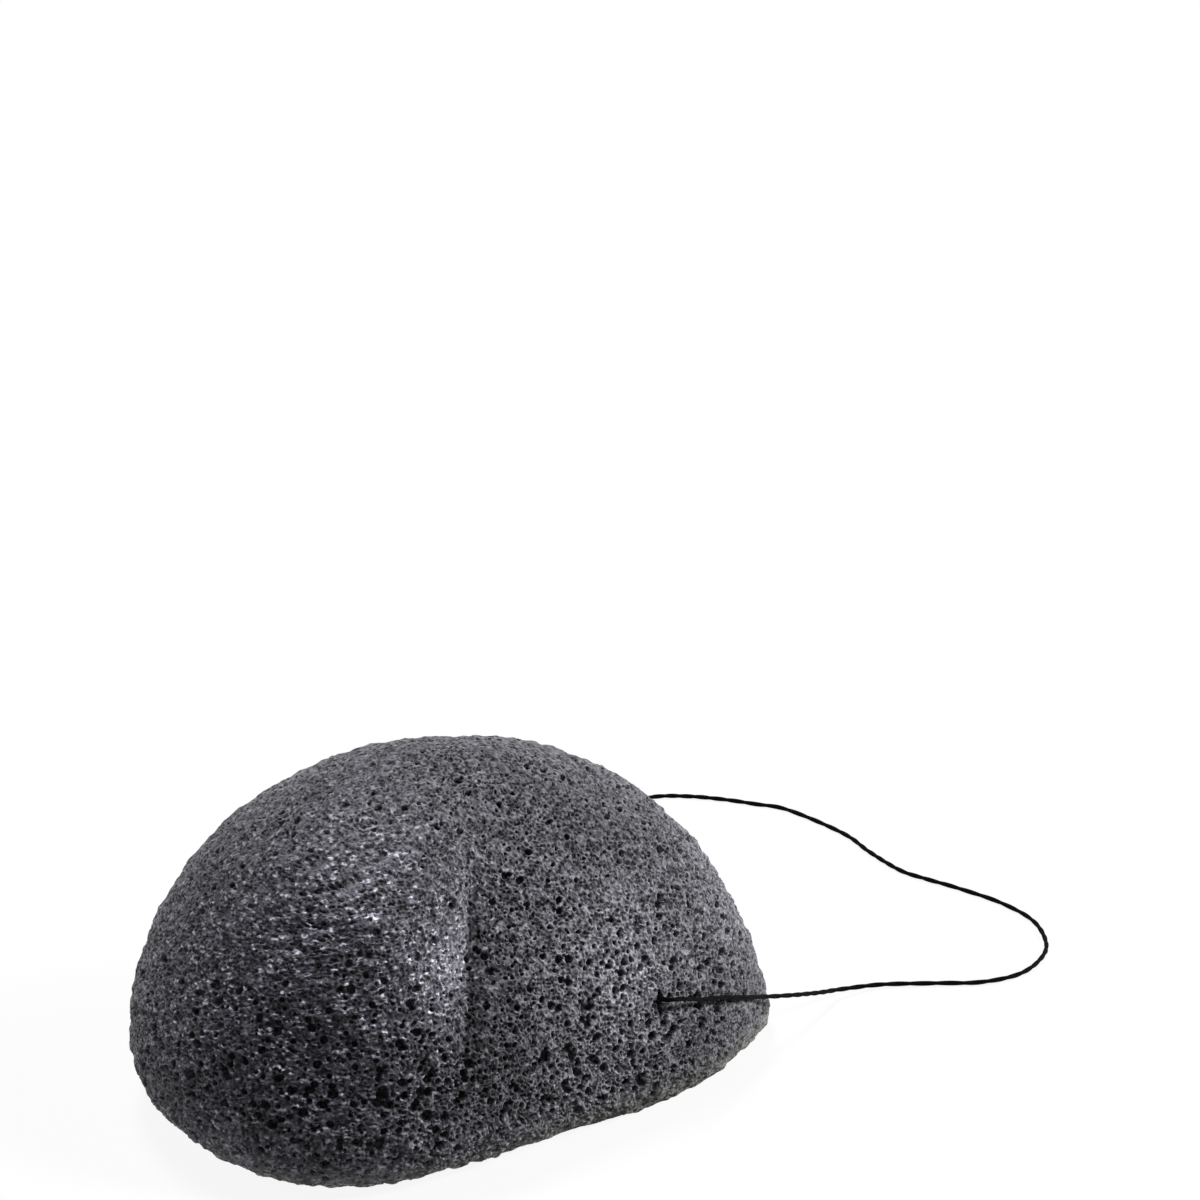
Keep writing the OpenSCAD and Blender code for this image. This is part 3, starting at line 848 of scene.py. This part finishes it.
# %% [markdown]
# ## Black twisted cotton
# The cord is cotton dyed black, spun and twisted from two plies. It looks deep black and dull, because the
# loose fibres trap the light and only the tops of the plies show a trace of grey. Its fibres are about 0.02
# mm thick, far too fine to show, so the noise that stands for them is drawn at 0.12 mm.

# %% Finish of the cord
FIBRE = 0.12 * MM
DEEP_BLACK, WORN_BLACK = linear("#060606"), linear("#0c0c0c")
cord_finish, tree = empty_material("black_twisted_cotton")
place = add_node(tree, "ShaderNodeTexCoord").outputs["Object"]
fibre = add_node(tree, "ShaderNodeTexNoise", {"Vector": place, "Scale": 1 / FIBRE, "Detail": 3.0})
fibre = fibre.outputs["Fac"]
bumps = add_node(tree, "ShaderNodeBump", {"Height": fibre, "Distance": 0.05 * MM, "Strength": 0.7})
dye = add_node(tree, "ShaderNodeMix", {"Factor": fibre, 6: DEEP_BLACK, 7: WORN_BLACK}, data_type="RGBA")
shader = add_node(tree, "ShaderNodeBsdfPrincipled", {
    "Base Color": dye.outputs[2], "Roughness": 0.75, "Specular IOR Level": 0.05,
    "Normal": bumps.outputs["Normal"]})
add_node(tree, "ShaderNodeOutputMaterial", {"Surface": shader.outputs["BSDF"]})
for piece in (strand_loop, strand_run, cord_tie):
    piece.data.materials.append(cord_finish)
    print(cord_finish.name, "on", piece.name)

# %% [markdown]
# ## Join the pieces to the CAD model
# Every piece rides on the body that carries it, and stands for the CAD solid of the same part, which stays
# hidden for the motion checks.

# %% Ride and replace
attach(foam, "sponge")
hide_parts("sponge")
for piece, node in ((strand_loop, "cord_loop"), (strand_run, "cord_run"), (cord_tie, "cord_knot")):
    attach(piece, "cord")
    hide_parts(node)

# %% [markdown]
# ## The floor
# The photograph has a pure white ground and hardly any shadow. More light on the floor would also light the
# sponge, so the floor is a plain grey for the light that reaches the sponge, and only camera, glossy and
# transmission rays see it white: a glow with a little diffuse paper added near the sponge, which keeps the
# sponge's shadow, and a plain glow further away.

# %% Tell the rays that see the white from the light on the sponge
WHITE = (1, 1, 1, 1)


def seen_directly(tree):
    """1 for camera, glossy and transmission rays, and 0 for the light that falls on the sponge."""
    rays = add_node(tree, "ShaderNodeLightPath")
    seen = rays.outputs["Is Camera Ray"]
    for kind in ("Is Glossy Ray", "Is Transmission Ray"):
        seen = add_node(tree, "ShaderNodeMath", {0: seen, 1: rays.outputs[kind]}, operation="MAXIMUM")
        seen = seen.outputs[0]
    return seen


print("the white that is seen:", WHITE)

# %% [markdown]
# The floor is one square with its material, large enough to fill every view.

# %% Floor
FLOOR_SIZE = 3              # metres to each side
NEAR_GLOW, NEAR_PAPER = 0.9, 0.17
SHADOW_FADES, SHADOW_GONE = 0.06, 0.3    # metres from the middle of the sponge
floor_mesh = bmesh.new()
bmesh.ops.create_grid(floor_mesh, x_segments=1, y_segments=1, size=FLOOR_SIZE)
floor_data = bpy.data.meshes.new("floor")
floor_mesh.to_mesh(floor_data)
floor_mesh.free()
floor = new_object("floor", floor_data)
floor_finish, tree = empty_material("white_paper_sweep")
paper = add_node(tree, "ShaderNodeBsdfPrincipled", {"Roughness": 0.9, "Base Color": linear("#484848")})
glow = add_node(tree, "ShaderNodeEmission", {"Color": WHITE, "Strength": NEAR_GLOW})
shaded = add_node(tree, "ShaderNodeBsdfDiffuse", {"Color": (NEAR_PAPER, NEAR_PAPER, NEAR_PAPER, 1)})
near = add_node(tree, "ShaderNodeAddShader", {0: glow.outputs[0], 1: shaded.outputs[0]})
far = add_node(tree, "ShaderNodeEmission", {"Color": WHITE, "Strength": 1.0})
place = add_node(tree, "ShaderNodeTexCoord").outputs["Object"]
distance = add_node(tree, "ShaderNodeVectorMath", {0: place}, operation="LENGTH").outputs["Value"]
fade = add_node(tree, "ShaderNodeMapRange", {
    "Value": distance, "From Min": SHADOW_FADES, "From Max": SHADOW_GONE}, interpolation_type="SMOOTHSTEP")
fade = fade.outputs["Result"]
shown = add_node(tree, "ShaderNodeMixShader", {0: fade, 1: near.outputs[0], 2: far.outputs[0]})
seen = seen_directly(tree)
blend = add_node(tree, "ShaderNodeMixShader", {0: seen, 1: paper.outputs[0], 2: shown.outputs[0]})
add_node(tree, "ShaderNodeOutputMaterial", {"Surface": blend.outputs[0]})
floor.data.materials.append(floor_finish)
print("floor", 2 * FLOOR_SIZE, "m wide")

# %% [markdown]
# ## The world
# It does the same: white for the rays that see it, and only a faint fill for the light on the sponge, so
# that the sides away from the lamps don't go black.

# %% World
FILL = 0.03
world = bpy.data.worlds.new("world")
bpy.context.scene.world = world
world.use_nodes = True
tree = world.node_tree
tree.nodes.clear()
fill = add_node(tree, "ShaderNodeBackground", {"Color": WHITE, "Strength": FILL})
white = add_node(tree, "ShaderNodeBackground", {"Color": WHITE, "Strength": 1.0})
seen = seen_directly(tree)
blend = add_node(tree, "ShaderNodeMixShader", {0: seen, 1: fill.outputs[0], 2: white.outputs[0]})
add_node(tree, "ShaderNodeOutputWorld", {"Surface": blend.outputs[0]})
print("fill light", FILL)

# %% [markdown]
# ## The lamps
# The photograph shows a pale right end, a top that is lit from above and behind, and dark hollows that face
# the camera. Four square lamps give that: one low at the right, one from the right front, one above and
# behind, and a weak one at the left. Each level is the share of full daylight white that the lamp gives at
# the sponge, and together they stay near 1, so the foam's colour shows about as it is written.

# %% Lamps
SPONGE_MIDDLE = Vector((0, 0, 15)) * MM
LAMP_DISTANCE = 0.7         # metres


def softbox(name, towards, size, level):
    """A square lamp that lights the sponge at that share of full daylight white."""
    data = bpy.data.lights.new(name, "AREA")
    data.size = size
    data.energy = math.pi ** 2 * level * LAMP_DISTANCE ** 2
    lamp = new_object(name, data)
    lamp.location = SPONGE_MIDDLE + Vector(towards).normalized() * LAMP_DISTANCE
    lamp.rotation_euler = (SPONGE_MIDDLE - lamp.location).to_track_quat("-Z", "Y").to_euler()
    print(name, round(data.energy, 2), "W")


softbox("side_lamp", (0.97, -0.17, 0.17), 0.12, 0.38)
softbox("key_lamp", (0.59, -0.49, 0.64), 0.12, 0.27)
softbox("top_lamp", (0, 0.34, 0.94), 0.2, 0.36)
softbox("rim_lamp", (-0.72, 0.26, 0.64), 0.2, 0.1)

# %% [markdown]
# The Standard view transform shows a colour as it is written.

bpy.context.scene.view_settings.view_transform = "Standard"
